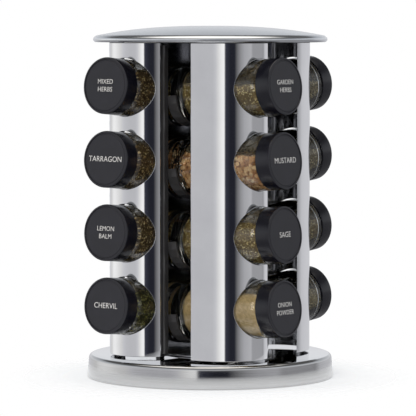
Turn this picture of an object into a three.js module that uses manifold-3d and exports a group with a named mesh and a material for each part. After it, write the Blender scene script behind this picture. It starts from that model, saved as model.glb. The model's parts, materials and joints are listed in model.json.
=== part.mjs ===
// Revolving spice carousel: sixteen glass jars in a tower of four curved steel panels, turning on a ball bearing.
// Units are millimetres, +Z is up, and the origin is where the tower's axis meets the table.
//
// Each column of jars has a frame of its own: u runs outwards from the tower's axis, v runs a quarter turn
// anticlockwise from u, and z is up. The jars lie beside their column's u axis, so the columns make a pinwheel.

import * as THREE from 'three';
import { mergeVertices } from 'three/addons/utils/BufferGeometryUtils.js';
import Module from 'manifold-3d';

// ---- Driving dimensions ----

const gap = 0.3;                  // between pieces that touch
const columns = 4;
const rows = 4;
const firstHeading = 232;         // degrees from +X to the first column's u axis

const baseRadius = 95;
const baseTaper = 1.3;            // the base's wall leans in by this much at the top
const baseEdge = 3;               // rounded top edge
const baseSheet = 1.2;
const baseFloorThickness = 2;
const footHeight = 2;
const footRadius = 7;
const footInset = 19;             // foot centre in from the base's edge

const jarRadius = 21.5;
const jarLength = 91.3;           // heel to lip
const jarWall = 2;
const jarBottom = 6.5;            // thickness of the glass at the rear end
const jarHeel = 2.2;              // outer rounding at the rear end
const neckRadius = 18.4;
const neckLength = 10.2;
const jarTilt = 5;                // degrees, mouth end up, so that the jars stay in
const jarRearClearance = 0.3;     // between a jar's tilted rear end and the leg behind it

const capRadius = 21.4;
const capDepth = 12.5;
const capWall = 1.5;
const capTop = 1.6;
const capChamfer = 0.8;
const sifterFlange = 1.16;        // room for the sifter's flange between the lip and the cap

const sheet = 0.8;                // panel thickness
const panelReach = 70.2;          // u of the panels' outermost line
const noseMargin = 7.5;           // the nose's radius is this much over its holes'
const noseShift = 0.65;           // the nose's middle stands this far beyond the jars' axes
const noseSide = -57;             // degrees, where the nose meets the flank
const flankRadius = 40;
const flankTurn = -72;            // degrees, where the flank becomes flatter
const outerFlankRadius = 83;
const flankEnd = -84.4;           // degrees, where the flank ends at the open side
const bendRadius = 2;             // outside radius of the bend into the leg
const holeClearance = 1;          // radial, between a jar and its hole
const jarSideClearance = 2.05;    // between a jar and its panel's leg
const rowPitch = 55.3;
const bottomMargin = 38.6;        // panel's bottom edge to the lowest hole's height at the nose
const topMargin = 33.6;           // highest hole's height at the nose to the panel's top edge
const tabWidth = 10;
const tabStart = 14;              // u of the tabs' inner side

const tubeRadius = 3.1;
const tubeBore = 2.35;
const rodRadius = 2;
const nutWidth = 7;               // across flats
const nutHeight = 3.2;

const ballRadius = 2.5;
const ballCount = 12;
const ballCircle = 27;            // radius of the circle of balls
const raceThickness = 2.5;
const raceInner = 21;
const raceOuter = 36;
const grooveDepth = 1;
const cageThickness = 1.2;
const cageWidth = 5.6;
const spigotWall = 3;             // moulded rings on the base's floor and the hub centre the races

const hubFlange = 2.4;
const hubBossRadius = 14;
const hubRunningGap = 0.6;        // between the turning hub and the fixed base shell
const floorRadius = 36;
const floorThickness = 0.7;

const lidRadius = 90.1;
const lidBead = 2.2;              // radius of the rolled rim
const lidSheet = 0.9;
const lidPlateThickness = 1;
const lidRise = 7.9;              // dome height over the rim radius
const lidCurve = 2.45;            // the dome falls away as this power of the radius
const lidEave = 2.4;              // the rim's middle stands this far above the panels' top edge

const restStripWidth = 4;
const restStripDepth = 2.5;
const restThickness = 1.8;
const restLength = 9;             // of each saddle, along the jar
const restSweep = [-90, 45];      // degrees round the jar, 0 pointing down

// ---- Heights and places that follow ----

const radians = THREE.MathUtils.degToRad;

const baseFloorZ = footHeight + gap;
const lowerRaceZ = baseFloorZ + baseFloorThickness + gap;
const ballZ = lowerRaceZ + raceThickness - grooveDepth + gap + ballRadius;
const upperRaceZ = ballZ + ballRadius + gap - grooveDepth;
const hubZ = upperRaceZ + raceThickness + gap;
const shellUndersideZ = hubZ + hubFlange + hubRunningGap;
const baseTop = shellUndersideZ + baseSheet;
const hubTop = baseTop + 0.2;
const floorZ = hubTop + gap;
const panelBottom = floorZ + floorThickness + gap;
const lowestRow = panelBottom + bottomMargin;
const panelTop = lowestRow + (rows - 1) * rowPitch + topMargin;
const lidPlateZ = panelTop + gap;
const lidRimZ = panelTop + lidEave;

const legFace = tubeRadius + gap;                    // v of each leg's outer face, which walls the next column
const legInnerEnd = -legFace + gap;                  // each leg stops short of the leg before it
const jarSide = -(legFace + sheet + jarSideClearance + jarRadius);      // v of the jars' axes
const jarRearReach = jarRearClearance - legFace + jarRadius * Math.sin(radians(jarTilt));  // u of its centre
const holeRadius = jarRadius + holeClearance;
const holeRise = holeClearance - gap;                // jars rest on the lower edge of their holes
const noseRadius = holeRadius + noseMargin;
const noseCentre = new THREE.Vector2(panelReach - noseRadius, jarSide - noseShift);
const neckClearRadius = capRadius - capWall;
const capFaceAt = jarLength + sifterFlange + gap + capTop;             // along the jar's axis from its heel

const jarSides = 12;
const holeSides = 24;
const bearingSides = 24;
const discSides = 48;

// ---- Finishes ----

const finish = (name, color, metalness, roughness, extra = {}) =>
  new THREE.MeshStandardMaterial({ name, color, metalness, roughness, ...extra });
const polishedSteel = finish('polished_steel', 0xc8c8ca, 1, 0.08);
const brushedSteel = finish('brushed_steel', 0xb4b4b4, 1, 0.35);
const satinSteel = finish('satin_steel', 0xc6cacf, 1, 0.25);
const zincSteel = finish('zinc_steel', 0x9fa2a6, 1, 0.4);
const blackPlastic = finish('black_plastic', 0x1c1c1f, 0, 0.4);
const rubber = finish('rubber', 0x202020, 0, 0.9);
const clearGlass = finish('clear_glass', 0xdfe6e2, 0, 0.05, { transparent: true, opacity: 0.35 });

// ---- Making solids ----

const wasm = await Module();
wasm.setup();
const { Manifold, Mesh: SolidMesh } = wasm;

// Welds a closed geometry's corners, drops slivers that fold onto an axis, and turns its faces outwards.
function weld(geometry) {
  geometry.deleteAttribute('normal');
  geometry.deleteAttribute('uv');
  const welded = mergeVertices(geometry, 1e-4);
  const corners = [];
  const [a, b, c] = [new THREE.Vector3(), new THREE.Vector3(), new THREE.Vector3()];
  let volume = 0;
  for (let i = 0; i < welded.index.count; i += 3) {
    const face = [0, 1, 2].map((n) => welded.index.getX(i + n));
    if (new Set(face).size < 3) continue;
    [a, b, c].forEach((point, n) => point.fromBufferAttribute(welded.attributes.position, face[n]));
    volume += a.dot(b.cross(c));
    corners.push(...face);
  }
  welded.setIndex(volume < 0 ? corners.reverse() : corners);
  return welded;
}

function toSolid(geometry) {
  const welded = weld(geometry);
  return new Manifold(new SolidMesh({
    numProp: 3,
    vertProperties: new Float32Array(welded.attributes.position.array),
    triVerts: new Uint32Array(welded.index.array),
  }));
}

function toGeometry(solid) {
  const mesh = solid.getMesh();
  const geometry = new THREE.BufferGeometry();
  geometry.setAttribute('position', new THREE.BufferAttribute(mesh.vertProperties, 3));
  geometry.setIndex(new THREE.BufferAttribute(mesh.triVerts, 1));
  return geometry;
}

const cut = (body, ...tools) => tools.reduce((solid, tool) => solid.subtract(tool), body);
const join = (...solids) => solids.reduce((whole, solid) => whole.add(solid));

// Points along an arc, both ends included. Angles are in degrees.
function arc(centre, radius, from, to, steps) {
  return Array.from({ length: steps + 1 }, (_, i) => {
    const angle = radians(from + (to - from) * i / steps);
    return new THREE.Vector2(centre.x + radius * Math.cos(angle), centre.y + radius * Math.sin(angle));
  });
}

// Turns a profile of [radius, height] points about the z axis.
function turned(profile, sides) {
  const points = profile.map((point) => (point.isVector2 ? point : new THREE.Vector2(...point)));
  return new THREE.LatheGeometry(points, sides).rotateX(Math.PI / 2);
}

// A ring or disc of rectangular section.
function ring(inner, outer, bottom, top, sides = discSides) {
  const profile = [[inner, bottom], [outer, bottom], [outer, top], [inner, top]];
  if (inner > 0) profile.push([inner, bottom]);
  return turned(profile, sides);
}

function block(low, high) {
  const size = new THREE.Vector3().subVectors(high, low);
  const middle = new THREE.Vector3().addVectors(high, low).multiplyScalar(0.5);
  return new THREE.BoxGeometry(size.x, size.y, size.z).translate(middle.x, middle.y, middle.z);
}

const at = (x, y, z) => new THREE.Vector3(x, y, z);

function addPiece(parent, name, geometry, material) {
  const mesh = new THREE.Mesh(weld(geometry), material);
  mesh.name = name;
  parent.add(mesh);
  return mesh;
}

// Copies a small geometry to equal steps round the z axis.
function aroundAxis(geometry, count, radius) {
  return Array.from({ length: count }, (_, i) =>
    toSolid(geometry.clone().translate(radius, 0, 0).rotateZ(2 * Math.PI * i / count)));
}

// ---- Where a jar lies ----

// The seat of a row in its column's frame: local z runs along the jar from heel to mouth, local x points down.
function seat(row) {
  const noseHeight = lowestRow + (rows - 1 - row) * rowPitch - holeRise / 2;
  const rearHeight = noseHeight - (panelReach - jarRearReach) * Math.tan(radians(jarTilt));
  return new THREE.Matrix4()
    .makeTranslation(jarRearReach, jarSide, rearHeight)
    .multiply(new THREE.Matrix4().makeRotationY(Math.PI / 2 - radians(jarTilt)));
}

// ---- Base ----

function baseShell() {
  const edgeCentre = new THREE.Vector2(baseRadius - baseTaper - baseEdge, baseTop - baseEdge);
  const innerTop = baseRadius - baseTaper - baseSheet;
  const bottom = footHeight / 2;
  return turned([
    [hubBossRadius + hubRunningGap + gap, shellUndersideZ],
    [innerTop - baseEdge + baseSheet, shellUndersideZ],
    [innerTop, shellUndersideZ - baseEdge + baseSheet],
    [baseRadius - baseSheet, bottom],
    [baseRadius, bottom],
    ...arc(edgeCentre, baseEdge, 0, 90, 3),
    [hubBossRadius + hubRunningGap + gap, baseTop],
    [hubBossRadius + hubRunningGap + gap, shellUndersideZ],
  ], discSides);
}

// The floor is a moulded disc with a ring that centres the lower race.
function baseFloor() {
  const top = baseFloorZ + baseFloorThickness;
  const spigot = raceInner - gap;
  return turned([
    [0, baseFloorZ], [baseRadius - baseSheet - 2 * gap, baseFloorZ], [baseRadius - baseSheet - 2 * gap, top],
    [spigot, top], [spigot, lowerRaceZ + raceThickness],
    [spigot - spigotWall, lowerRaceZ + raceThickness], [spigot - spigotWall, top], [0, top],
  ], discSides);
}

const foot = () => turned([
  [0, 0], [footRadius - 0.6, 0], [footRadius, 0.6], [footRadius, footHeight], [0, footHeight],
], 16);

// A flat bearing ring with a round groove for the balls in its upper or lower face.
function race(bottom, grooveUp) {
  const body = toSolid(ring(raceInner, raceOuter, bottom, bottom + raceThickness, bearingSides));
  const grooveCentre = new THREE.Vector2(ballCircle, ballZ);
  const start = grooveUp ? 180 : 0;
  const halfCircle = arc(grooveCentre, ballRadius + gap, start, start + 180, 6);
  return toGeometry(cut(body, toSolid(turned([...halfCircle, halfCircle[0]], bearingSides))));
}

// The balls stand in a thin ring that keeps them apart, and turn with it.
function ballCage() {
  const halfWidth = cageWidth / 2;
  const [low, high] = [ballZ - cageThickness / 2, ballZ + cageThickness / 2];
  const band = ring(ballCircle - halfWidth, ballCircle + halfWidth, low, high, bearingSides);
  const ball = new THREE.SphereGeometry(ballRadius, 8, 5).rotateX(Math.PI / 2).translate(0, 0, ballZ);
  return toGeometry(join(toSolid(band), ...aroundAxis(ball, ballCount, ballCircle)));
}

// ---- Hub and spindle ----

// The hub's flange is caught under the base shell, and its boss comes up through the shell's hole.
function turnHub() {
  const spigot = raceInner - gap;
  const body = toSolid(turned([
    [0, hubZ], [spigot - spigotWall, hubZ], [spigot - spigotWall, upperRaceZ],
    [spigot, upperRaceZ], [spigot, hubZ],
    [raceOuter, hubZ], [raceOuter, hubZ + hubFlange],
    [hubBossRadius, hubZ + hubFlange], [hubBossRadius, hubTop], [0, hubTop],
  ], bearingSides));
  return toGeometry(cut(body, toSolid(ring(0, tubeBore, hubZ - 1, hubTop + 1, 12))));
}

const rodBottom = hubZ - gap - nutHeight - 1;
const rodTop = lidPlateZ + lidPlateThickness + gap + nutHeight + 1;

function nut(bottom) {
  const across = nutWidth / 2 / Math.cos(Math.PI / 6);
  return toGeometry(cut(
    toSolid(ring(0, across, bottom, bottom + nutHeight, 6)),
    toSolid(ring(0, tubeBore, bottom - 1, bottom + nutHeight + 1, 12)),
  ));
}

// ---- Panels ----

// A tab on every leg goes through a slot in the plate under it and in the plate over it.
function slots(bottom, top) {
  const slot = block(
    at(tabStart - gap, -legFace - sheet - gap, bottom - 1),
    at(tabStart + tabWidth + gap, -legFace + gap, top + 1),
  );
  return Array.from({ length: columns }, (_, i) => toSolid(slot.clone().rotateZ(2 * Math.PI * i / columns)));
}

const plateBore = (bottom, top) => toSolid(ring(0, tubeBore, bottom - 1, top + 1, 12));

function towerFloor() {
  const top = floorZ + floorThickness;
  return toGeometry(cut(toSolid(ring(0, floorRadius, floorZ, top)), plateBore(floorZ, top), ...slots(floorZ, top)));
}

// The middle of an arc that carries on from another one without a corner.
const carriedOn = (centre, radius, degrees, nextRadius) => new THREE.Vector2(
  centre.x - (nextRadius - radius) * Math.cos(radians(degrees)),
  centre.y - (nextRadius - radius) * Math.sin(radians(degrees)),
);

// The panel's section: flank, nose, bend and a straight leg that runs in to the tower's tube.
function panelOutline() {
  const bendCentre = new THREE.Vector2(0, -legFace - bendRadius);
  const noseToBend = noseRadius - bendRadius;
  bendCentre.x = noseCentre.x + Math.sqrt(noseToBend ** 2 - (bendCentre.y - noseCentre.y) ** 2);
  const bendStart = THREE.MathUtils.radToDeg(Math.asin((bendCentre.y - noseCentre.y) / noseToBend));
  const flankCentre = carriedOn(noseCentre, noseRadius, noseSide, flankRadius);
  const outerFlankCentre = carriedOn(flankCentre, flankRadius, flankTurn, outerFlankRadius);
  const face = (depth) => [
    ...arc(outerFlankCentre, outerFlankRadius - depth, flankEnd, flankTurn, 2).slice(0, -1),
    ...arc(flankCentre, flankRadius - depth, flankTurn, noseSide, 2).slice(0, -1),
    ...arc(noseCentre, noseRadius - depth, noseSide, bendStart, 10).slice(0, -1),
    ...arc(bendCentre, bendRadius - depth, bendStart, 90, 2),
    new THREE.Vector2(legInnerEnd, -legFace - depth),
  ];
  return [...face(0), ...face(sheet).reverse()];
}

function panel() {
  const body = new THREE.ExtrudeGeometry(new THREE.Shape(panelOutline()), {
    depth: panelTop - panelBottom, bevelEnabled: false,
  }).translate(0, 0, panelBottom);
  const reach = panelReach + 10;
  const holeStart = noseCentre.x + holeClearance;
  const hole = new THREE.CylinderGeometry(holeRadius, holeRadius, reach - holeStart, holeSides)
    .rotateX(Math.PI / 2).translate(-holeRise, 0, (reach + holeStart) / 2 - jarRearReach);
  const holes = Array.from({ length: rows }, (_, row) => toSolid(hole.clone().applyMatrix4(seat(row))));
  const overlap = 1;
  const tabs = [[floorZ + 0.1, panelBottom + overlap], [panelTop - overlap, lidPlateZ + lidPlateThickness - 0.1]]
    .map(([low, high]) => toSolid(block(
      at(tabStart, -legFace - sheet, low),
      at(tabStart + tabWidth, -legFace, high),
    )));
  return toGeometry(join(cut(toSolid(body), ...holes), ...tabs));
}

// A moulded strip stands on the leg behind its column, with a saddle under the rear end of each jar.
function jarRest() {
  const back = -legFace + gap;
  const stripSide = jarSide - jarRadius - gap - restThickness;
  const strip = toSolid(block(
    at(back, stripSide - restStripWidth + 0.5, panelBottom + 2),
    at(back + restStripDepth, stripSide + 0.5, panelTop - 2),
  ));
  const [from, to] = restSweep;
  const middle = new THREE.Vector2(0, 0);
  const section = new THREE.Shape([
    ...arc(middle, jarRadius + gap, from, to, 9),
    ...arc(middle, jarRadius + gap + restThickness, to, from, 9),
  ]);
  const saddle = new THREE.ExtrudeGeometry(section, { depth: restLength, bevelEnabled: false })
    .translate(0, 0, -1);
  const saddles = Array.from({ length: rows }, (_, row) => toSolid(saddle.clone().applyMatrix4(seat(row))));
  return toGeometry(join(strip, ...saddles));
}

// ---- Lid ----

function lidPlate() {
  const top = lidPlateZ + lidPlateThickness;
  const disc = toSolid(ring(0, lidRadius - 2 * lidBead - 2 * gap, lidPlateZ, top));
  return toGeometry(cut(disc, plateBore(lidPlateZ, top), ...slots(lidPlateZ, top)));
}

function lidShell() {
  const rim = new THREE.Vector2(lidRadius - lidBead, lidRimZ);
  const domeTop = lidRimZ + lidBead + lidRise + 0.2;
  const domeSteps = 5;
  const dome = (inset) => Array.from({ length: domeSteps + 1 }, (_, i) => {
    const radius = (rim.x - inset) * i / domeSteps;
    return new THREE.Vector2(radius, domeTop - inset - lidRise * (radius / lidRadius) ** lidCurve);
  });
  return turned([
    ...dome(0),
    ...arc(rim, lidBead, 60, -180, 6),
    ...dome(lidSheet).reverse().slice(1),
  ], discSides);
}

// ---- Jars ----

function jar() {
  const inner = jarRadius - jarWall;
  const shoulder = jarLength - neckLength;
  const neckInner = neckRadius - jarWall;
  return turned([
    [0, 0], [jarRadius - jarHeel, 0], [jarRadius, jarHeel],
    [jarRadius, shoulder - 1.5], [neckRadius, shoulder],
    [neckRadius, jarLength], [neckInner, jarLength],
    [neckInner, shoulder - 1], [inner, shoulder - 3],
    [inner, jarBottom + 3], [inner - 3, jarBottom], [0, jarBottom],
  ], jarSides);
}

function cap() {
  const top = capFaceAt;
  return turned([
    [0, top], [capRadius - capChamfer, top], [capRadius, top - capChamfer],
    [capRadius, top - capDepth], [neckClearRadius, top - capDepth],
    [neckClearRadius, top - capTop], [0, top - capTop],
  ], jarSides);
}

// ---- The whole ----

const carousel = new THREE.Group();

addPiece(carousel, 'base_shell', baseShell(), brushedSteel);
addPiece(carousel, 'base_floor', baseFloor(), blackPlastic);
addPiece(carousel, 'lower_race', race(lowerRaceZ, true), zincSteel);
addPiece(carousel, 'ball_cage', ballCage(), zincSteel);
const feet = 4;
for (let i = 0; i < feet; i += 1) {
  const place = new THREE.Vector2(baseRadius - footInset, 0)
    .rotateAround(new THREE.Vector2(), Math.PI / feet + 2 * Math.PI * i / feet);
  addPiece(carousel, `foot_${i + 1}`, foot(), rubber).position.set(place.x, place.y, 0);
}

addPiece(carousel, 'turn_hub', turnHub(), blackPlastic);
addPiece(carousel, 'upper_race', race(upperRaceZ, false), zincSteel);
addPiece(carousel, 'tie_rod', ring(0, rodRadius, rodBottom, rodTop, 12), zincSteel);
addPiece(carousel, 'bottom_nut', nut(hubZ - gap - nutHeight), zincSteel);
addPiece(carousel, 'top_nut', nut(lidPlateZ + lidPlateThickness + gap), zincSteel);
addPiece(carousel, 'centre_tube', ring(tubeBore, tubeRadius, panelBottom, panelTop, 20), zincSteel);
addPiece(carousel, 'lid_shell', lidShell(), satinSteel);

// The plates under and over the tower have slots for the columns' tabs, and stand turned with them.
const towerFrame = new THREE.Group();
towerFrame.rotation.z = radians(firstHeading);
carousel.add(towerFrame);
addPiece(towerFrame, 'tower_floor', towerFloor(), zincSteel);
addPiece(towerFrame, 'lid_plate', lidPlate(), blackPlastic);
for (let column = 0; column < columns; column += 1) {
  const frame = new THREE.Group();
  frame.rotation.z = radians(firstHeading + 360 * column / columns);
  carousel.add(frame);
  addPiece(frame, `panel_${column + 1}`, panel(), polishedSteel);
  addPiece(frame, `jar_rest_${column + 1}`, jarRest(), blackPlastic);
  for (let row = 0; row < rows; row += 1) {
    const holder = new THREE.Group();
    holder.applyMatrix4(seat(row));
    frame.add(holder);
    addPiece(holder, `jar_${column + 1}_${row + 1}`, jar(), clearGlass);
    addPiece(holder, `cap_${column + 1}_${row + 1}`, cap(), blackPlastic);
  }
}

export default carousel;
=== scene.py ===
import json
import math
import random

import bmesh
import bpy
from mathutils import Matrix, Vector


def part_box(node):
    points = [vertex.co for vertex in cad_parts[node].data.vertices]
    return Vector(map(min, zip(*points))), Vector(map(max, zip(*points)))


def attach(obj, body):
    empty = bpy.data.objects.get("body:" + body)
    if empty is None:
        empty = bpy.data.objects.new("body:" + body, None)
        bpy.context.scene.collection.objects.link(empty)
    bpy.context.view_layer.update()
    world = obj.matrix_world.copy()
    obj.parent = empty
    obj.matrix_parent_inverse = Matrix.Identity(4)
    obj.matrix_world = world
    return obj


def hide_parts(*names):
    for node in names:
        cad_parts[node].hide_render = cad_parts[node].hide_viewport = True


bpy.ops.wm.read_factory_settings(use_empty=True)
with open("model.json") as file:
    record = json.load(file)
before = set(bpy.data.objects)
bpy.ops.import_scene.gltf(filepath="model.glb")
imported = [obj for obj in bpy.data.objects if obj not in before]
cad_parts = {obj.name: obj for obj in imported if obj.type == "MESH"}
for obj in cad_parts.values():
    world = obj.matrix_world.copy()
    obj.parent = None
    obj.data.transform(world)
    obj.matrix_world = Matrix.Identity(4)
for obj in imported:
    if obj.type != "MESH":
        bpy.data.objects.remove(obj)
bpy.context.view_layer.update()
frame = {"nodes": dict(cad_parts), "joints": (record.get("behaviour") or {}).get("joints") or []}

# ---------------------------------------------------------------- sizes and places

MM = 0.001
COLUMNS = ROWS = 4
JOINTS = {joint["name"]: joint for joint in frame["joints"]}

BASE_LOW, BASE_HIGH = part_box("base_shell")
TUBE_LOW, TUBE_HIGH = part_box("centre_tube")
LID_LOW, LID_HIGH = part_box("lid_shell")
FOOT_LOW, FOOT_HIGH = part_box("foot_1")
PANEL_BOTTOM, PANEL_TOP = TUBE_LOW.z, TUBE_HIGH.z

BASE_RADIUS = BASE_HIGH.x
BASE_TAPER = 1.3 * MM
BASE_EDGE = 3 * MM
BASE_SHEET = 1.2 * MM
HUB_HOLE = 15 * MM
TOP_FACING = 0.93                   # faces whose normal rises more than this are the polished top

SHEET = 0.8 * MM                    # panel thickness
PANEL_REACH = 70.2 * MM
NOSE_RADIUS = 30 * MM
NOSE_SHIFT = 0.65 * MM              # the nose's middle stands this far beyond the jars' axes
NOSE_SIDE = -57                     # degrees, where the nose meets the flank
FLANK_RADIUS = 40 * MM
FLANK_TURN = -72                    # degrees, where the flank becomes flatter
OUTER_FLANK_RADIUS = 83 * MM
FLANK_END = -84.4
BEND_RADIUS = 2 * MM
LEG_FACE = 3.4 * MM                 # v of each leg's outer face
LEG_INNER_END = -3.1 * MM
TAB_START, TAB_END = 14 * MM, 24 * MM
TAB_DROP, TAB_RISE = 0.8 * MM, 1.1 * MM
EDGE_ROUND = 0.39 * MM              # polished rounding of the sheet's cut edges

JAR_RADIUS = 21.5 * MM
JAR_LENGTH = 91.3 * MM
JAR_WALL = 1.8 * MM
NECK_RADIUS = 18.4 * MM
CAP_RADIUS = 21.4 * MM
CAP_FACE = 94.36 * MM               # from the jar's heel
CAP_DEPTH = 12.5 * MM
CAP_MARK = 88.5 * MM                # from the heel to the cap joint's stated point
HOLE_RADIUS = 21.95 * MM
HOLE_RISE = 0.3 * MM                # the jars rest on the lower edges of their holes

LID_RADIUS = LID_HIGH.x
LID_BEAD = 2.2 * MM
LID_SHEET = 0.9 * MM
LID_RISE = 7.9 * MM
LID_CURVE = 2.45

FILL_END = 80 * MM                  # the contents reach this far from the heel
BITS_GAP = 0.12 * MM                # between the glass and the flakes or seeds
DUST_AND_SHADE_GAP = 0.25 * MM                # between the glass and its film of dust and painted shade
LUMP_GAP = 0.7 * MM                 # between the glass and the bulk of the contents
LEVELS = [                          # mm from each jar's axis up to the top of its contents
    [14.5, 15, 15.5, 14.5],
    [5.5, 7.5, 13, 15],
    [6.5, 9, 10, 10],
    [12, 9, 13, 8],
]

LETTER_SIZE = 5.9 * MM
LETTER_THIN = 0.03 * MM
TWO_LINE_SHARE = 0.86              # two-line labels are set this much smaller
LETTER_DEPTH = 0.06 * MM
LABELS = [
    ["MIXED\nHERBS", "TARRAGON", "LEMON\nBALM", "CHERVIL"],
    ["GARDEN\nHERBS", "MUSTARD", "SAGE", "ONION\nPOWDER"],
    ["THYME", "BAY LEAF", "DILL WEED", "MARJORAM"],
    ["ROSEMARY", "CHIVES", "SAVORY", "MINT"],
]


def seat(column, row):
    """Where a jar lies: local z from heel to mouth, local x down, local y to the right seen from outside."""
    joint = JOINTS[f"cap_twist_{column}_{row}"]
    axis = Vector(joint["axis"]).normalized()
    right = Vector((0, 0, 1)).cross(axis).normalized()
    down = right.cross(axis)
    heel = Vector(joint["pos_m"]) - axis * CAP_MARK
    return Matrix((
        (down.x, right.x, axis.x, heel.x),
        (down.y, right.y, axis.y, heel.y),
        (down.z, right.z, axis.z, heel.z),
        (0, 0, 0, 1),
    ))


def column_turn(column):
    """Turns the column's own frame, u outwards and v a quarter turn on, to its heading."""
    axis = JOINTS[f"jar_slide_{column}_1"]["axis"]
    return Matrix.Rotation(math.atan2(axis[1], axis[0]), 4, "Z")


# ---------------------------------------------------------------- modelling helpers


def deselect():
    if bpy.context.object and bpy.context.object.mode != "OBJECT":
        bpy.ops.object.mode_set(mode="OBJECT")
    bpy.ops.object.select_all(action="DESELECT")


def pick(obj):
    deselect()
    obj.select_set(True)
    bpy.context.view_layer.objects.active = obj
    return obj


def edit(obj, select="SELECT"):
    pick(obj)
    bpy.ops.object.mode_set(mode="EDIT")
    bpy.ops.mesh.select_all(action=select)


def done():
    bpy.ops.object.mode_set(mode="OBJECT")


def added(name):
    """Names the primitive that was just added, and puts its place into its mesh."""
    obj = bpy.context.object
    obj.name = obj.data.name = name
    bpy.ops.object.transform_apply(location=True, rotation=True, scale=True)
    return obj


def line_object(name, points, closed=False):
    """An open chain of edges, ready to be spun or extruded."""
    edges = [(i, i + 1) for i in range(len(points) - 1)]
    if closed:
        edges.append((len(points) - 1, 0))
    mesh = bpy.data.meshes.new(name)
    mesh.from_pydata(points, edges, [])
    obj = bpy.data.objects.new(name, mesh)
    bpy.context.scene.collection.objects.link(obj)
    return obj


def arc(centre, radius, start, end, steps):
    """Points of an arc in a plane, angles in degrees."""
    turn = [math.radians(start + (end - start) * i / steps) for i in range(steps + 1)]
    return [(centre[0] + radius * math.cos(a), centre[1] + radius * math.sin(a)) for a in turn]


def turned(name, profile, steps=96, smooth=35):
    """Spins a profile of (radius, height) points about the z axis into a closed solid."""
    on_axis = profile[0][0] == 0
    obj = line_object(name, [(r, 0, z) for r, z in profile], closed=not on_axis)
    edit(obj)
    bpy.ops.mesh.spin(steps=steps, angle=math.tau, center=(0, 0, 0), axis=(0, 0, 1), dupli=False)
    bpy.ops.mesh.select_all(action="SELECT")
    bpy.ops.mesh.remove_doubles(threshold=0.004 * MM)
    bpy.ops.mesh.normals_make_consistent(inside=False)
    done()
    bpy.ops.object.shade_smooth_by_angle(angle=math.radians(smooth))
    return obj


def apply_modifier(obj, kind, **settings):
    pick(obj)
    modifier = obj.modifiers.new(kind.title(), kind)
    for key, value in settings.items():
        setattr(modifier, key, value)
    bpy.ops.object.modifier_apply(modifier=modifier.name)
    return obj


def copy_to(master, name, matrix):
    """A copy with its own mesh, whose place is in the mesh."""
    mesh = master.data.copy()
    mesh.name = name
    mesh.transform(matrix)
    obj = bpy.data.objects.new(name, mesh)
    bpy.context.scene.collection.objects.link(obj)
    return obj


def discard(obj):
    bpy.data.objects.remove(obj, do_unlink=True)


def dress(obj, materials, body, slot, *nodes):
    """Sets a piece's materials (None keeps its own), body and the CAD nodes it stands for; slot is not used.
    """
    if materials:
        obj.data.materials.clear()
        for material in materials:
            obj.data.materials.append(material)
    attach(obj, body)
    if nodes:
        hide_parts(*nodes)
    return obj


# ---------------------------------------------------------------- shader helpers


class Signal:
    """A node's output that can be used in sums."""

    def __init__(self, paint, socket):
        self.paint, self.socket = paint, socket

    def _math(self, operation, *values):
        return self.paint.node("ShaderNodeMath", {"operation": operation}, dict(enumerate(values)))

    def __add__(self, other):
        return self._math("ADD", self, other)

    def __radd__(self, other):
        return self._math("ADD", other, self)

    def __sub__(self, other):
        return self._math("SUBTRACT", self, other)

    def __rsub__(self, other):
        return self._math("SUBTRACT", other, self)

    def __mul__(self, other):
        return self._math("MULTIPLY", self, other)

    def __rmul__(self, other):
        return self._math("MULTIPLY", other, self)

    def __truediv__(self, other):
        return self._math("DIVIDE", self, other)

    def __rtruediv__(self, other):
        return self._math("DIVIDE", other, self)

    def clamped(self):
        return self._math("MINIMUM", self._math("MAXIMUM", self, 0.0), 1.0)


class Paint:
    """A node tree of a material or of the world."""

    def __init__(self, owner):
        owner.use_nodes = True
        self.owner, self.tree = owner, owner.node_tree
        self.tree.nodes.clear()

    def node(self, kind, settings=None, inputs=None, output=0):
        made = self.tree.nodes.new(kind)
        for key, value in (settings or {}).items():
            if key == "stops":
                self._stops(made.color_ramp, value)
            else:
                setattr(made, key, value)
        for key, value in (inputs or {}).items():
            socket = made.inputs[key]
            if isinstance(value, Signal):
                self.tree.links.new(value.socket, socket)
            else:
                socket.default_value = value
        return Signal(self, made.outputs[output])

    @staticmethod
    def _stops(ramp, stops):
        while len(ramp.elements) > 1:
            ramp.elements.remove(ramp.elements[-1])
        for i, (place, color) in enumerate(stops):
            element = ramp.elements[0] if i == 0 else ramp.elements.new(place)
            element.position = place
            element.color = (*color, 1) if len(color) == 3 else color

    def place(self, scale=(1, 1, 1)):
        """Object coordinates in millimetres, scaled."""
        at = self.node("ShaderNodeTexCoord", output="Object")
        scale = tuple(1000 * s for s in scale)
        return self.node("ShaderNodeMapping", {}, {"Vector": at, "Scale": scale})

    def noise(self, place, size, detail=3.0, rough=0.55):
        inputs = {"Vector": place, "Scale": 1 / size, "Detail": detail, "Roughness": rough}
        return self.node("ShaderNodeTexNoise", {}, inputs)

    def ramp(self, factor, stops):
        return self.node("ShaderNodeValToRGB", {"stops": stops}, {"Fac": factor})

    def blend(self, factor, first, second):
        settings = {"data_type": "RGBA"}
        return self.node("ShaderNodeMix", settings, {"Factor": factor, 6: first, 7: second}, output=2)

    def bump(self, height, distance, strength=1.0, normal=None):
        inputs = {"Height": height, "Distance": distance * MM, "Strength": strength}
        if normal:
            inputs["Normal"] = normal
        return self.node("ShaderNodeBump", {}, inputs)

    def finish(self, **sockets):
        """A Principled surface. Socket names have _ for a space."""
        inputs = {key.replace("_", " "): value for key, value in sockets.items()}
        surface = self.node("ShaderNodeBsdfPrincipled", {}, inputs, output="BSDF")
        self.node_output(surface)
        return self.owner

    def node_output(self, surface, kind="ShaderNodeOutputMaterial"):
        out = self.tree.nodes.new(kind)
        self.tree.links.new(surface.socket, out.inputs["Surface"])


def material(name):
    return Paint(bpy.data.materials.new(name))


def rgb(*values):
    return (*values, 1)


# ---------------------------------------------------------------- finishes


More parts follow.
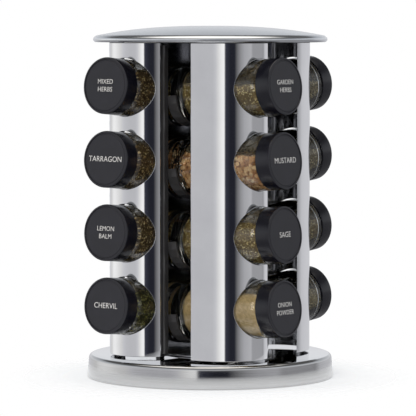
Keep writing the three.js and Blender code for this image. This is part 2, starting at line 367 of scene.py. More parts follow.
def polished_steel():
    """Mirror-polished sheet: almost clean, with faint upright polishing lines and a slow waviness."""
    p = material("polished_steel")
    lines = p.noise(p.place((1, 1, 0.02)), 0.35, 2)
    smudge = p.noise(p.place(), 34, 4)
    wave = p.noise(p.place((1, 1, 0.1)), 30, 1)
    normal = p.bump(wave, 0.012, 0.3, p.bump(lines, 0.001, 0.2))
    tone = p.ramp(smudge, [(0.3, (0.80, 0.80, 0.81)), (0.7, (0.86, 0.86, 0.865))])
    return p.finish(Base_Color=tone, Metallic=1.0, Roughness=0.03 + smudge * 0.05, Normal=normal)


def brushed_steel():
    """The base's side: brushed round the rim, so its lines are level and very long."""
    p = material("brushed_steel")
    fine = p.noise(p.place((0.012, 0.012, 1)), 0.16, 3)
    broad = p.noise(p.place((0.01, 0.01, 1)), 0.9, 2)
    tone = p.ramp(fine * 0.6 + broad * 0.4, [(0.35, (0.54, 0.54, 0.54)), (0.65, (0.66, 0.66, 0.665))])
    rough = 0.06 + fine * 0.07
    return p.finish(Base_Color=tone, Metallic=1.0, Roughness=rough, Normal=p.bump(fine, 0.01, 0.3))


def satin_steel():
    """The lid: fine satin, spun, so its marks are rings."""
    p = material("satin_steel")
    at = p.node("ShaderNodeTexCoord", output="Object")
    far = p.node("ShaderNodeVectorMath", {"operation": "LENGTH"}, {0: at}, output="Value")
    ring = p.node("ShaderNodeCombineXYZ", {}, {"X": far * 1000})
    rings = p.noise(ring, 0.5, 3)
    cloud = p.noise(p.place(), 22, 3)
    tone = p.ramp(cloud, [(0.3, (0.72, 0.74, 0.77)), (0.7, (0.80, 0.815, 0.84))])
    rough = 0.15 + cloud * 0.06
    return p.finish(Base_Color=tone, Metallic=1.0, Roughness=rough, Normal=p.bump(rings, 0.01, 0.3))


def machined_steel(name, shade, rough=0.3):
    """Plated, ground or cut steel, with fine marks and a little dulling."""
    p = material(name)
    grain = p.noise(p.place((1, 1, 3)), 0.5, 3)
    cloud = p.noise(p.place(), 9, 3)
    dark, light = [shade * k for k in (0.86, 0.87, 0.9)], [shade * k for k in (1.02, 1.02, 1.04)]
    tone = p.ramp(cloud, [(0.3, dark), (0.7, light)])
    rough = rough + cloud * 0.12
    return p.finish(Base_Color=tone, Metallic=1.0, Roughness=rough, Normal=p.bump(grain, 0.006, 0.3))


def moulded_black(name, shade, rough, grain=0.35, depth=0.03, blue=1.0):
    """Moulded plastic with a spark-eroded grain."""
    p = material(name)
    skin = p.noise(p.place(), grain, 2)
    cloud = p.noise(p.place(), 12, 3)
    dark, light = [shade * k for k in (0.85, 0.85, 0.9 * blue)], [shade * k for k in (1.1, 1.1, 1.18 * blue)]
    tone = p.ramp(cloud, [(0.3, dark), (0.7, light)])
    return p.finish(Base_Color=tone, Roughness=rough + cloud * 0.08, Normal=p.bump(skin, depth, 0.5))


def rubber():
    p = material("rubber")
    grit = p.noise(p.place(), 0.5, 4)
    tone = p.ramp(grit, [(0.3, (0.018, 0.018, 0.018)), (0.7, (0.04, 0.04, 0.038))])
    return p.finish(Base_Color=tone, Roughness=0.8 + grit * 0.12, Normal=p.bump(grit, 0.05, 0.6))


def clear_glass():
    p = material("clear_glass")
    ripple = p.noise(p.place((1, 1, 1)), 14, 2)
    return p.finish(
        Base_Color=rgb(0.97, 0.985, 0.975), Roughness=0.0, IOR=1.5,
        Specular_IOR_Level=0.35, Transmission_Weight=1.0, Normal=p.bump(ripple, 0.12, 0.25),
    )


def lettering_white():
    p = material("lettering_white")
    ink = p.noise(p.place(), 0.8, 3)
    tone = p.ramp(ink, [(0.25, (0.86, 0.86, 0.86)), (0.6, (0.95, 0.95, 0.95))])
    return p.finish(Base_Color=tone, Roughness=0.5, Normal=p.bump(ink, 0.01, 0.4))


def sifter_plastic():
    p = material("sifter_plastic")
    cloud = p.noise(p.place(), 4, 2)
    tone = p.ramp(cloud, [(0.3, (0.72, 0.72, 0.70)), (0.7, (0.82, 0.82, 0.80))])
    return p.finish(Base_Color=tone, Roughness=0.35 + cloud * 0.1, Normal=p.bump(cloud, 0.02, 0.3))


def spice(name, tones, grain, depth=0.3):
    """Dried herb or spice: each flake or seed has its own tone, with finer flecks over it."""
    p = material(name)
    own = p.node("ShaderNodeAttribute", {"attribute_name": "tone"}, output="Fac")
    fleck = p.noise(p.place(), grain, 3)
    stops = [(0.04 + 0.92 * i / (len(tones) - 1), tone) for i, tone in enumerate(tones)]
    tone = p.ramp(own * 0.9 + fleck * 0.6 - 0.25, stops)
    return p.finish(Base_Color=tone, Roughness=0.75 + fleck * 0.2, Normal=p.bump(fleck, depth, 0.8))


# ---------------------------------------------------------------- base


def base_profile():
    """The pressed shell's section, from the hole in its top round its outside and back underneath."""
    top, bottom = BASE_HIGH.z, BASE_LOW.z
    edge = (BASE_RADIUS - BASE_TAPER - BASE_EDGE, top - BASE_EDGE)
    hem = 0.4 * MM
    outer = arc(edge, BASE_EDGE, 90, 0, 10)
    inner = arc(edge, BASE_EDGE - BASE_SHEET, 0, 90, 6)
    foot = [
        (BASE_RADIUS, bottom + hem), (BASE_RADIUS - hem / 2, bottom),
        (BASE_RADIUS - BASE_SHEET + hem / 2, bottom), (BASE_RADIUS - BASE_SHEET, bottom + hem),
    ]
    return [(HUB_HOLE, top), *outer, *foot, *inner, (HUB_HOLE, top - BASE_SHEET)]


def make_base(steel_side, steel_top):
    shell = turned("base_shell_pressing", base_profile(), steps=192, smooth=50)
    dress(shell, [steel_side, steel_top], "base", "brushed_steel", "base_shell")
    for face in shell.data.polygons:
        face.material_index = int(face.normal.z > TOP_FACING)


def make_feet(finish):
    low, high = 0.0, FOOT_HIGH.z
    radius = (FOOT_HIGH.x - FOOT_LOW.x) / 2
    ring = [(0, high), (radius, high)] + arc((radius - 0.6 * MM, low + 0.6 * MM), 0.6 * MM, 0, -90, 4)
    ring += [(radius * 0.62, low), (radius * 0.58, low + 0.5 * MM), (0, low + 0.5 * MM)]
    master = turned("foot_master", ring, steps=48)
    for i in range(4):
        node = f"foot_{i + 1}"
        lowest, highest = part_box(node)
        middle = (lowest + highest) / 2
        foot = copy_to(master, f"foot_pad_{i + 1}", Matrix.Translation((middle.x, middle.y, 0)))
        dress(foot, [finish], "base", "rubber", node)
    discard(master)


# ---------------------------------------------------------------- panels


def nose_centre():
    heel = column_turn(1).inverted() @ seat(1, 1).translation
    return PANEL_REACH - NOSE_RADIUS, heel.y - NOSE_SHIFT


def carried_on(centre, radius, degrees, next_radius):
    """The middle of an arc that carries on from another one without a corner."""
    turn, change = math.radians(degrees), next_radius - radius
    return centre[0] - change * math.cos(turn), centre[1] - change * math.sin(turn)


def bend_start():
    """(centre of the bend's arc, angle at which the nose runs into it)."""
    centre_u, centre_v = nose_centre()
    reach = NOSE_RADIUS - BEND_RADIUS
    bend_v = -LEG_FACE - BEND_RADIUS
    angle = math.asin((bend_v - centre_v) / reach)
    return (centre_u + reach * math.cos(angle), bend_v), math.degrees(angle)


def on_nose(angle):
    u, v = nose_centre()
    return u + NOSE_RADIUS * math.cos(math.radians(angle)), v + NOSE_RADIUS * math.sin(math.radians(angle))


def hole_point(turn, radius, axis_height, tilt):
    """(angle on the nose, height) where a tilted cylinder round a jar's axis meets the nose."""
    side = radius * math.cos(turn) + NOSE_SHIFT
    angle = math.asin(side / NOSE_RADIUS)
    back = NOSE_RADIUS * (math.cos(angle) - 1)
    height = axis_height + (radius * math.sin(turn) + back * math.sin(tilt)) / math.cos(tilt)
    return math.degrees(angle), height


def cell_border(across, up):
    """Points round a unit square from its lower right corner, anticlockwise."""
    right = [(1, -1 + 2 * i / up) for i in range(up)]
    top = [(1 - 2 * i / across, 1) for i in range(across)]
    return right + top + [(-x, -z) for x, z in right] + [(-x, -z) for x, z in top]


FRONT, BACK, CUT = 0, 1, 2          # material slots of a panel
ACROSS, UP = 44, 26                 # steps along a cell's top and up its side


def panel_surface(name, heights, tilt):
    """A panel's outer face in its column's frame: rings round each hole, then flank and leg."""
    mesh = bmesh.new()
    _, nose_end = bend_start()
    middle, half = (NOSE_SIDE + nose_end) / 2, (nose_end - NOSE_SIDE) / 2
    pitch = heights[0] - heights[1]
    border = cell_border(ACROSS, UP)

    def vertex(angle, height):
        return mesh.verts.new((*on_nose(angle), height))

    def quads(first, second, closed):
        count = len(first)
        for j in range(count if closed else count - 1):
            k = (j + 1) % count
            mesh.faces.new((first[j], first[k], second[k], second[j]))

    for height in heights:
        turns = [math.atan2(z, x) for x, z in border]
        lip = [hole_point(t, HOLE_RADIUS, height + HOLE_RISE, tilt) for t in turns]
        near = [hole_point(t, HOLE_RADIUS + 0.5 * MM, height + HOLE_RISE, tilt) for t in turns]
        edge = [(middle + half * x, height + pitch / 2 * z) for x, z in border]
        rings = [lip, near]
        for share in (0.22, 0.55, 1):
            rings.append([tuple(a + (b - a) * share for a, b in zip(n, e)) for n, e in zip(near, edge)])
        rows = [[vertex(*point) for point in ring] for ring in rings]
        for first, second in zip(rows, rows[1:]):
            quads(second, first, closed=True)

    bottom, top = PANEL_BOTTOM, PANEL_TOP
    columns = [middle + half * (-1 + 2 * i / ACROSS) for i in range(ACROSS + 1)]
    for ends in ((bottom, heights[-1] - pitch / 2), (heights[0] + pitch / 2, top)):
        rows = [[vertex(a, z) for a in columns] for z in ends]
        quads(rows[0], rows[1], closed=False)

    side = [bottom] + [h + pitch * (-0.5 + i / UP) for h in reversed(heights) for i in range(UP + 1)] + [top]
    flank_centre = carried_on(nose_centre(), NOSE_RADIUS, NOSE_SIDE, FLANK_RADIUS)
    outer_centre = carried_on(flank_centre, FLANK_RADIUS, FLANK_TURN, OUTER_FLANK_RADIUS)
    bend_centre, _ = bend_start()
    flank = arc(outer_centre, OUTER_FLANK_RADIUS, FLANK_END, FLANK_TURN, 5)[:-1]
    flank += arc(flank_centre, FLANK_RADIUS, FLANK_TURN, NOSE_SIDE, 7)
    bend = arc(bend_centre, BEND_RADIUS, nose_end, 90, 5)
    leg = [(u, -LEG_FACE) for u in (TAB_END, TAB_START, LEG_INNER_END)]
    for outline in (flank, bend + leg):
        rows = [[mesh.verts.new((*point, z)) for point in outline] for z in side]
        for first, second in zip(rows, rows[1:]):
            quads(first, second, closed=False)
    for end, reach in ((bottom, bottom - TAB_DROP), (top, top + TAB_RISE)):
        tab = [(TAB_END, end), (TAB_START, end), (TAB_START, reach), (TAB_END, reach)]
        mesh.faces.new([mesh.verts.new((u, -LEG_FACE, z)) for u, z in tab])
    bmesh.ops.remove_doubles(mesh, verts=mesh.verts, dist=0.003 * MM)
    data = bpy.data.meshes.new(name)
    mesh.to_mesh(data)
    mesh.free()
    obj = bpy.data.objects.new(name, data)
    bpy.context.scene.collection.objects.link(obj)
    return obj


def face_outwards(obj):
    """Makes an open sheet's faces agree, and turns them to the outside of the nose."""
    edit(obj)
    bpy.ops.mesh.normals_make_consistent(inside=False)
    done()
    foremost = max(obj.data.polygons, key=lambda face: face.center.x)
    if foremost.normal.x < 0:
        edit(obj)
        bpy.ops.mesh.flip_normals()
        done()


def rolled_direction(u, v):
    """Outward direction of the rolled sheet at a point of its section."""
    bend_centre, nose_end = bend_start()
    nose = nose_centre()
    flank = carried_on(nose, NOSE_RADIUS, NOSE_SIDE, FLANK_RADIUS)
    outer_flank = carried_on(flank, FLANK_RADIUS, FLANK_TURN, OUTER_FLANK_RADIUS)

    def turn(centre):
        return math.degrees(math.atan2(v - centre[1], u - centre[0]))

    if turn(nose) > nose_end and u <= bend_centre[0]:
        return Vector((0, 1, 0))
    middle = nose
    if turn(nose) > nose_end:
        middle = bend_centre
    elif turn(nose) < NOSE_SIDE:
        middle = flank if turn(flank) > FLANK_TURN else outer_flank
    return Vector((u - middle[0], v - middle[1], 0)).normalized()


def true_normals(obj):
    """Gives the sheet's two broad faces the exact directions of the arcs they follow."""
    mesh = obj.data
    normals = [corner.vector.copy() for corner in mesh.corner_normals]
    for face in mesh.polygons:
        if face.material_index == CUT:
            continue
        outward = 1 if face.material_index == FRONT else -1
        for loop in face.loop_indices:
            place = mesh.vertices[mesh.loops[loop].vertex_index].co
            normals[loop] = rolled_direction(place.x, place.y) * outward
    mesh.normals_split_custom_set(normals)


def make_panels(steel, back, cut_edge):
    axis = JOINTS["jar_slide_1_1"]["axis"]
    tilt = math.asin(axis[2])
    heights = []
    for row in range(1, ROWS + 1):
        heel = column_turn(1).inverted() @ seat(1, row).translation
        heights.append(heel.z + (PANEL_REACH - heel.x) * math.tan(tilt))
    master = panel_surface("panel_master", heights, tilt)
    face_outwards(master)
    pick(master)
    bpy.ops.object.shade_smooth()
    for material in (steel, back, cut_edge):
        master.data.materials.append(material)
    apply_modifier(
        master, "SOLIDIFY", thickness=SHEET, offset=-1, use_even_offset=True,
        material_offset=BACK, material_offset_rim=CUT,
    )
    apply_modifier(
        master, "BEVEL", width=EDGE_ROUND, segments=3, limit_method="ANGLE",
        angle_limit=math.radians(50), harden_normals=True, material=CUT,
    )
    true_normals(master)
    for column in range(1, COLUMNS + 1):
        panel = copy_to(master, f"panel_sheet_{column}", column_turn(column))
        dress(panel, None, "tower", "polished_steel", f"panel_{column}")
    discard(master)


# ---------------------------------------------------------------- lid


def make_lid(steel):
    rim = (LID_RADIUS - LID_BEAD, LID_LOW.z + LID_BEAD)
    top = LID_HIGH.z

    def dome(inset, steps=26):
        reach = rim[0] - inset
        return [
            (reach * i / steps, top - inset - LID_RISE * (reach * i / steps / LID_RADIUS) ** LID_CURVE)
            for i in range(steps + 1)
        ]

    profile = dome(0) + arc(rim, LID_BEAD, 62, -180, 20) + dome(LID_SHEET)[::-1][1:]
    lid = turned("lid_dome", profile, steps=192, smooth=40)
    dress(lid, [steel], "tower", "satin_steel", "lid_shell")


# ---------------------------------------------------------------- jars, caps and what they hold


def jar_profile():
    """Thick-bottomed jar with a pushed-up base, a small shoulder and a plain neck inside the cap."""
    inner = JAR_RADIUS - JAR_WALL
    shoulder = JAR_LENGTH - 10.2 * MM
    neck_inner = NECK_RADIUS - JAR_WALL
    heel, corner = 3 * MM, 6 * MM
    floor = 7.5 * MM
    outside = [(0, 1.2 * MM), (9 * MM, 1.0 * MM), (16 * MM, 0.15 * MM), (17.5 * MM, 0)]
    outside += arc((JAR_RADIUS - heel, heel), heel, -80, 0, 8)
    outside += arc((JAR_RADIUS - 2 * MM, shoulder - 2.4 * MM), 2 * MM, 0, 80, 6)
    outside += arc((NECK_RADIUS + 0.6 * MM, shoulder + 0.4 * MM), 0.6 * MM, -110, -180, 3)
    outside += [(NECK_RADIUS, JAR_LENGTH - 0.5 * MM), (NECK_RADIUS - 0.5 * MM, JAR_LENGTH)]
    inside = [(neck_inner + 0.5 * MM, JAR_LENGTH), (neck_inner, JAR_LENGTH - 0.5 * MM)]
    inside += [(neck_inner, shoulder), (inner - 0.8 * MM, shoulder - 2.4 * MM), (inner, shoulder - 5 * MM)]
    inside += arc((inner - corner, floor + corner), corner, 0, -90, 8)
    return outside + inside + [(6 * MM, floor + 0.3 * MM), (0, floor + 0.3 * MM)]


def cap_profile():
    """Screw cap with a rounded edge, a ring groove round its face and a plain skirt."""
    top, skirt = CAP_FACE, CAP_FACE - CAP_DEPTH
    edge, wall = 1.1 * MM, 1.5 * MM
    groove = 19.3 * MM
    face = [(0, top - 0.25 * MM), (groove - 0.7 * MM, top - 0.25 * MM)]
    face += [(groove - 0.35 * MM, top - 0.55 * MM), (groove + 0.25 * MM, top - 0.55 * MM)]
    face += [(groove + 0.5 * MM, top - 0.05 * MM)]
    outside = arc((CAP_RADIUS - edge, top - edge), edge, 84, 0, 8)
    outside += arc((CAP_RADIUS - 0.5 * MM, skirt + 0.5 * MM), 0.5 * MM, 0, -90, 4)
    inner, ceiling = CAP_RADIUS - wall, top - 1.6 * MM
    inside = [(inner, skirt), (inner, ceiling - 0.6 * MM), (inner - 0.6 * MM, ceiling)]
    return face + outside + inside + [(0, ceiling)]


def sifter_master():
    """The sifter in the jar's neck: a flanged plug whose plate has a ring of holes round a middle one."""
    rim, plug = NECK_RADIUS - 0.4 * MM, NECK_RADIUS - JAR_WALL - 0.15 * MM
    lip, deep, thick = JAR_LENGTH + 0.1 * MM, 4 * MM, 0.9 * MM
    obj = turned("sifter_master", [
        (0, lip + thick), (rim, lip + thick), (rim, lip), (plug, lip), (plug, lip - deep),
        (plug - thick, lip - deep), (plug - thick, lip), (0, lip),
    ], steps=48)
    drills = []
    for i in range(7):
        reach = 0 if i == 6 else 8.5 * MM
        place = (reach * math.cos(i * math.pi / 3), reach * math.sin(i * math.pi / 3), lip)
        bpy.ops.mesh.primitive_cylinder_add(vertices=20, radius=2 * MM, depth=6 * MM, location=place)
        drills.append(added(f"drill_{i}"))
    deselect()
    for drill in drills:
        drill.select_set(True)
    bpy.context.view_layer.objects.active = drills[0]
    bpy.ops.object.join()
    drill = bpy.context.object
    apply_modifier(obj, "BOOLEAN", operation="DIFFERENCE", object=drill, solver="EXACT")
    discard(drill)
    return obj


def leaf(size):
    """A curled flake, folded along its middle: corners in its own plane, and faces."""
    length, width = size * random.uniform(0.7, 1.5), size * random.uniform(0.3, 0.75)
    fold = width * random.uniform(-0.35, 0.35)
    corners = [(-length / 2, 0, 0), (0, width / 2, fold), (length / 2, 0, fold / 2), (0, -width / 2, fold)]
    return corners, [(0, 1, 2), (0, 2, 3)]


def ball(size):
    """A round seed, seated half into what is under it."""
    bits = bmesh.new()
    bmesh.ops.create_icosphere(bits, subdivisions=2, radius=size / 2 * random.uniform(0.86, 1.08))
    corners = [tuple(v.co) for v in bits.verts]
    faces = [tuple(v.index for v in f.verts) for f in bits.faces]
    bits.free()
    return corners, faces


def scatter(obj, bit, size, count, spacing, lean):
    """Lays bits all over a surface, each with its own tone, and keeps them inside the glass."""
    limit = JAR_RADIUS - JAR_WALL - BITS_GAP
    faces = [f for f in obj.data.polygons if f.center.z < FILL_END - 1 * MM or abs(f.normal.z) < 0.9]
    chosen = random.choices(faces, weights=[f.area for f in faces], k=count)
    corners, shapes, tones, taken = [], [], [], set()
    for face in chosen:
        a, b, c = (obj.data.vertices[i].co for i in random.sample(list(face.vertices), 3))
        r, t = random.random(), random.random()
        spot = a + (b - a) * r * (1 - t) + (c - a) * t * (1 - r)
        cell = tuple(round(v / spacing) for v in spot) if spacing else None
        if cell and cell in taken:
            continue
        taken.add(cell)
        normal = (face.normal + Vector([random.uniform(-lean, lean) for _ in range(3)])).normalized()
        spin = Matrix.Rotation(random.uniform(0, math.tau), 3, "Z")
        turn = normal.to_track_quat("Z", "Y").to_matrix() @ spin
        points, sides = bit(size)
        first, tone = len(corners), random.random()
        for point in points:
            place = spot + turn @ Vector(point)
            far = math.hypot(place.x, place.y)
            if far > limit:
                place.x, place.y = place.x * limit / far, place.y * limit / far
            corners.append(place)
            tones.append(tone)
        shapes += [tuple(first + i for i in side) for side in sides]
    mesh = bpy.data.meshes.new(f"{obj.name}_bits")
    mesh.from_pydata(corners, [], shapes)
    mesh.attributes.new("tone", "FLOAT", "POINT").data.foreach_set("value", tones)
    bits = bpy.data.objects.new(mesh.name, mesh)
    bpy.context.scene.collection.objects.link(bits)
    if bit is ball:
        pick(bits)
        bpy.ops.object.shade_smooth()
    deselect()
    bits.select_set(True)
    obj.select_set(True)
    bpy.context.view_layer.objects.active = obj
    bpy.ops.object.join()
    return obj


def fill_lump(name, level, lumps_size):
    """The bulk of what a jar holds: it lies in the lower side, and its top is level and uneven."""
    inner = JAR_RADIUS - JAR_WALL - LUMP_GAP
    start, corner = 8.6 * MM, 5.5 * MM
    length = FILL_END - start
    middle = start + length / 2
    deselect()
    bpy.ops.mesh.primitive_cylinder_add(vertices=72, radius=inner, depth=length, location=(0, 0, middle))
    obj = added(name)
    edit(obj, "DESELECT")
    rim = bmesh.from_edit_mesh(obj.data)
    for edge in rim.edges:
        edge.select = all(v.co.z < start + 0.1 * MM for v in edge.verts) and len(edge.link_faces) == 2
    bmesh.update_edit_mesh(obj.data)
    bpy.ops.mesh.bevel(offset=corner, segments=6, affect="EDGES")
    bpy.ops.mesh.select_all(action="SELECT")
    tilt = math.asin(JOINTS["jar_slide_1_1"]["axis"][2])
    bpy.ops.mesh.bisect(
        plane_co=(-level, 0, middle), plane_no=(-math.cos(tilt), 0, math.sin(tilt)),
        use_fill=True, clear_outer=True,
    )
    done()
    apply_modifier(obj, "REMESH", mode="VOXEL", voxel_size=1.3 * MM)
    lumps = bpy.data.textures.new(f"{name}_lumps", "CLOUDS")
    lumps.noise_scale, lumps.noise_depth = lumps_size, 2
    apply_modifier(obj, "DISPLACE", texture=lumps, strength=1.0 * MM, mid_level=0.85)
    pick(obj)
    bpy.ops.object.shade_smooth()
    obj.data.attributes.new("tone", "FLOAT", "POINT")
    return obj


def fill(name, level, kind, seed):
    """What one jar holds, in the jar's own frame. Level is the height of its top over the jar's axis."""
    random.seed(seed)
    obj = fill_lump(name, level, random.uniform(4, 7) * MM)
    if kind == "seeds":
        scatter(obj, ball, 3.7 * MM, 6000, 2.7 * MM, 0)
    elif kind == "powder":
        obj.data.attributes["tone"].data.foreach_set("value", [random.random() for _ in obj.data.vertices])
    else:
        scatter(obj, leaf, (2.6 if kind == "coarse" else 1.9) * MM, 4200, 0, 0.55)
    return obj


def dust_and_shade_film():
    """Fine dust that clings to the glass above the contents, and painted shade: its dark patches dim what is
    seen through the empty top of the jar.
    """
    p = material("spice_dust")
    patch = p.noise(p.place(), 5, 4)
    speck = p.noise(p.place(), 0.8, 3)
    tone = p.ramp(speck, [(0.35, (0.05, 0.038, 0.02)), (0.65, (0.22, 0.17, 0.09))])
    # dark patchy cover: dust, and painted shade over the jar's empty top
    cover = p.ramp(patch * 0.6 + speck * 0.4, [(0.36, (0.3, 0.3, 0.3)), (0.6, (0.85, 0.85, 0.85))])
    return p.finish(Base_Color=tone, Roughness=0.9, Alpha=cover, Normal=p.bump(speck, 0.1, 0.6))


def film(name, level):
    """The inside of the glass above a jar's contents."""
    reach, start = JAR_RADIUS - JAR_WALL - DUST_AND_SHADE_GAP, 12 * MM
    middle = (start + FILL_END) / 2
    deselect()
    bpy.ops.mesh.primitive_cylinder_add(
        vertices=72, radius=reach, depth=FILL_END - start, location=(0, 0, middle), end_fill_type="NOTHING",
    )
    obj = added(name)
    tilt = math.asin(JOINTS["jar_slide_1_1"]["axis"][2])
    edit(obj)
    bpy.ops.mesh.bisect(
        plane_co=(-level, 0, middle), plane_no=(-math.cos(tilt), 0, math.sin(tilt)), clear_inner=True,
    )
    done()
    pick(obj)
    bpy.ops.object.shade_smooth()
    return obj


def make_jars(glass, cap_face, cap_side, sifter_finish, ink, spices):
    jar = turned("jar_master", jar_profile(), steps=96, smooth=60)
    cap = turned("cap_master", cap_profile(), steps=96, smooth=32)
    sifter, dust_and_shade = sifter_master(), dust_and_shade_film()
    for column in range(1, COLUMNS + 1):
        for row in range(1, ROWS + 1):
            tag = f"{column}_{row}"
            place = seat(column, row)
            made = copy_to(jar, f"jar_glass_{tag}", place)
            dress(made, [glass], f"jar_{tag}", "clear_glass", f"jar_{tag}")
            made = copy_to(cap, f"screw_cap_{tag}", place)
            dress(made, [cap_side, cap_face], f"cap_{tag}", "cap_plastic", f"cap_{tag}")
            outwards = place.to_3x3() @ Vector((0, 0, 1))
            face_at = (place @ Vector((0, 0, CAP_FACE - 0.7 * MM)) - place.translation).dot(outwards)
            for face in made.data.polygons:
                height = (face.center - place.translation).dot(outwards)
                face.material_index = int(height > face_at and face.normal.dot(outwards) > 0.5)
            made = copy_to(sifter, f"sifter_{tag}", place)
            dress(made, [sifter_finish], f"jar_{tag}", None)
            kind, finish = spices[(column, row)]
            level = LEVELS[column - 1][row - 1] * MM
            made = fill(f"spice_{tag}", level, kind, seed=column * 10 + row)
            made.data.transform(place)
            dress(made, [finish], f"jar_{tag}", None)
            # a dark film inside the glass above the contents: dust, and painted shade in the jar's empty top
            made = film(f"spice_dust_{tag}", level)
            made.data.transform(place)
            dress(made, [dust_and_shade], f"jar_{tag}", None)
            letter(tag, LABELS[column - 1][row - 1], place, ink)
    for master in (jar, cap, sifter):
        discard(master)


def letter(tag, words, place, ink):
    """Raised white letters in the middle of a cap's face."""
    deselect()
    bpy.ops.object.text_add()
    text = bpy.context.object
    text.data.body = words
    text.data.align_x, text.data.align_y = "CENTER", "CENTER"
    text.data.size = LETTER_SIZE * (TWO_LINE_SHARE if "\n" in words else 1)
    text.data.space_line = 1.15
    text.data.extrude = LETTER_DEPTH / 2
    text.data.offset = -LETTER_THIN
    text.data.resolution_u = 3
    bpy.ops.object.convert(target="MESH")
    text.name = text.data.name = f"lettering_{tag}"
    upright = Matrix(((0, -1, 0, 0), (1, 0, 0, 0), (0, 0, 1, CAP_FACE - 0.2 * MM), (0, 0, 0, 1)))
    text.data.transform(place @ upright)
    dress(text, [ink], f"cap_{tag}", None)


# ---------------------------------------------------------------- studio


FLOOR_RADIUS = 0.2                  # metres
FLOOR_SOLID, FLOOR_FADE = 0.1, 0.06  # it is solid out to the first, and gone after the second more


def make_floor():
    """A pale floor that fades into the background away from the object."""
    deselect()
    bpy.ops.mesh.primitive_circle_add(vertices=128, radius=FLOOR_RADIUS, fill_type="NGON")
    floor = added("floor")
    p = material("floor")
    at = p.node("ShaderNodeTexCoord", output="Object")
    far = p.node("ShaderNodeVectorMath", {"operation": "LENGTH"}, {0: at}, output="Value")
    fade = ((far - FLOOR_SOLID) / FLOOR_FADE).clamped()
    p.finish(
        Base_Color=rgb(0.84, 0.88, 0.94), Roughness=0.8, Alpha=1 - fade,
        Emission_Color=rgb(1, 1, 1), Emission_Strength=0.4,
    )
    floor.data.materials.append(p.owner)


KEY_POWER, KEY_SIZE = 14, 1.0       # watts, metres
KEY_COLOR = (1.0, 0.92, 0.80)
KEY_PLACE, KEY_TARGET = Vector((-0.45, -1.9, 0.75)), Vector((0, 0, 0.13))
BANDS = [  # heading in degrees from +X, and how bright the studio is that way
    (0, 0.36), (20, 0.36), (27, 0.33), (36, 0.60), (46, 0.64), (88, 0.64), (112, 0.68), (132, 0.72),
    (141, 0.92), (152, 0.97), (162, 0.91), (172, 0.82), (182, 0.73), (192, 0.64), (202, 0.58), (214, 0.555),
    (231, 0.56), (238, 0.63), (244, 0.78), (250, 0.94), (257, 1.04), (259, 0.05), (266, 0.035), (274, 0.02),
    (286, 0.022), (294, 0.17), (304, 0.32), (315, 0.43), (336, 0.50), (342, 0.36),
]


def studio_tone(value):
    """Neutral where bright, a little blue in the greys and navy in the darks."""
    blue = 0.3 if value < 0.1 else 0.035 if value < 0.7 else 0
    return value * (1 - blue / 2), value * (1 - blue / 3), value * (1 + blue)


def make_studio():
    """Soft boxes and dark flags all round as bands of the world, a bright ceiling and a pale ground."""
    p = Paint(bpy.data.worlds.new("studio"))
    at = p.node("ShaderNodeTexCoord", output="Generated")
    x = p.node("ShaderNodeSeparateXYZ", {}, {"Vector": at}, output=0)
    y = p.node("ShaderNodeSeparateXYZ", {}, {"Vector": at}, output=1)
    z = p.node("ShaderNodeSeparateXYZ", {}, {"Vector": at}, output=2)
    heading = p.node("ShaderNodeMath", {"operation": "ARCTAN2"}, {0: y, 1: x}) / math.tau
    heading = p.node("ShaderNodeMath", {"operation": "WRAP"}, {0: heading, 1: 1.0, 2: 0.0})
    stops = [(h / 360, studio_tone(v)) for h, v in BANDS]
    light = p.ramp(heading, stops)
    sky = p.ramp(z, [
        (0.05, (0.92, 0.93, 0.95)), (0.16, (0.72, 0.74, 0.77)),
        (0.42, (0.46, 0.48, 0.51)), (0.5, (0.12, 0.12, 0.12)),
    ])
    light = p.blend(((z - 0.03) / 0.12).clamped(), light, sky)
    light = p.blend(((z - 0.75) / 0.15).clamped(), light, rgb(1.5, 1.45, 1.36))
    light = p.blend(((-0.13 - z) / 0.2).clamped(), light, rgb(0.28, 0.28, 0.29))
    seen = p.node("ShaderNodeLightPath", output="Is Camera Ray")
    light = p.blend(seen, light, rgb(1, 1, 1))
    background = p.node("ShaderNodeBackground", {}, {"Color": light, "Strength": 1.0})
    p.node_output(background, "ShaderNodeOutputWorld")
    scene = bpy.context.scene
    scene.world = p.owner
    scene.view_settings.view_transform = "Standard"
    scene.cycles.use_denoising = True


def make_key_light():
    """A large soft warm light from the front, left and above, left out of mirror reflections."""
    lamp = bpy.data.objects.new("key_light", bpy.data.lights.new("key_light", "AREA"))
    lamp.data.shape, lamp.data.size = "DISK", KEY_SIZE
    lamp.data.energy, lamp.data.color = KEY_POWER, KEY_COLOR
    lamp.location = KEY_PLACE
    lamp.rotation_mode = "QUATERNION"
    lamp.rotation_quaternion = (KEY_TARGET - KEY_PLACE).to_track_quat("-Z", "Y")
    lamp.visible_glossy = False
    bpy.context.scene.collection.objects.link(lamp)


EYE, TARGET = Vector((0, -2.271, 0.2715)), Vector((0, 0, 0.1298))
SENSOR_WIDTH, FOCAL_LENGTH = 36, 255.4
SIDE_SHIFT = -2.25 / 416            # a share of the picture's width


def make_camera():
    camera = bpy.data.objects.new("camera", bpy.data.cameras.new("camera"))
    camera.data.sensor_width, camera.data.lens = SENSOR_WIDTH, FOCAL_LENGTH
    camera.data.shift_x = SIDE_SHIFT
    camera.location = EYE
    camera.rotation_mode = "QUATERNION"
    camera.rotation_quaternion = (TARGET - EYE).to_track_quat("-Z", "Y")
    bpy.context.scene.collection.objects.link(camera)
    bpy.context.scene.camera = camera


# ---------------------------------------------------------------- the whole


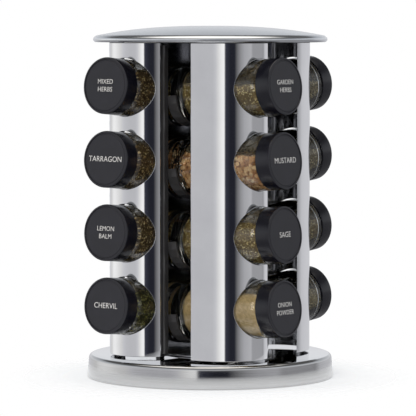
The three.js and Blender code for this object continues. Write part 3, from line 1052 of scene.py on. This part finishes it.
def make_spices():
    """Each jar's kind of bits and its finish, by column and row."""
    tones = {
        "mixed_herbs": [(0.06, 0.035, 0.01), (0.34, 0.22, 0.08), (0.66, 0.48, 0.21), (1.0, 0.82, 0.46)],
        "crushed_leaf": [(0.07, 0.04, 0.01), (0.40, 0.25, 0.09), (0.72, 0.51, 0.22), (1.0, 0.80, 0.44)],
        "green_leaf": [(0.03, 0.028, 0.004), (0.12, 0.115, 0.02), (0.26, 0.25, 0.06), (0.50, 0.46, 0.16)],
        "yellow_herbs": [(0.16, 0.10, 0.02), (0.52, 0.39, 0.13), (0.80, 0.65, 0.28), (1.0, 0.90, 0.52)],
        "round_seeds": [(0.34, 0.15, 0.05), (0.64, 0.34, 0.14), (0.88, 0.56, 0.28), (1.0, 0.76, 0.44)],
        "fine_powder": [(0.52, 0.36, 0.15), (0.64, 0.46, 0.21), (0.74, 0.56, 0.28)],
        "grey_herbs": [(0.20, 0.15, 0.06), (0.62, 0.50, 0.26), (0.90, 0.78, 0.46), (1.0, 0.92, 0.62)],
    }
    grains = {"round_seeds": 1.6, "fine_powder": 0.6}
    made = {name: spice(name, ramp, grains.get(name, 0.7)) for name, ramp in tones.items()}
    kinds = {"round_seeds": "seeds", "fine_powder": "powder", "green_leaf": "coarse"}
    plan = [
        ["mixed_herbs", "crushed_leaf", "mixed_herbs", "green_leaf"],
        ["yellow_herbs", "round_seeds", "yellow_herbs", "fine_powder"],
        ["grey_herbs", "grey_herbs", "yellow_herbs", "grey_herbs"],
        ["crushed_leaf", "grey_herbs", "green_leaf", "mixed_herbs"],
    ]
    return {
        (c + 1, r + 1): (kinds.get(name, "flakes"), made[name])
        for c, names in enumerate(plan) for r, name in enumerate(names)
    }


def dress_frame(hidden_steel, bearing, black, glossy_black, mirror):
    """Finishes for the CAD nodes that stay."""
    finishes = {
        "base_floor": black, "turn_hub": black, "lid_plate": black,
        "lower_race": bearing, "upper_race": bearing, "ball_cage": bearing,
        "tie_rod": hidden_steel, "bottom_nut": hidden_steel, "top_nut": hidden_steel,
        "centre_tube": mirror, "tower_floor": hidden_steel,
    }
    finishes.update({f"jar_rest_{c}": glossy_black for c in range(1, COLUMNS + 1)})
    for name, finish in finishes.items():
        node = frame["nodes"][name]
        node.data.materials.clear()
        node.data.materials.append(finish)


mirror = polished_steel()
black = moulded_black("black_plastic", 0.02, 0.45)
make_camera()
make_key_light()
make_base(brushed_steel(), mirror)
make_feet(rubber())
make_panels(mirror, machined_steel("panel_back", 0.62, 0.05), machined_steel("cut_edge", 0.96, 0.1))
make_lid(satin_steel())
make_jars(
    clear_glass(), moulded_black("cap_face", 0.023, 0.45, blue=1.25),
    moulded_black("cap_skirt", 0.008, 0.2, depth=0.004, blue=1.6),
    sifter_plastic(), lettering_white(), make_spices(),
)
dress_frame(
    machined_steel("zinc_steel", 0.6), machined_steel("bearing_steel", 0.55), black,
    moulded_black("rest_plastic", 0.05, 0.12, depth=0.004), mirror,
)
make_floor()
make_studio()
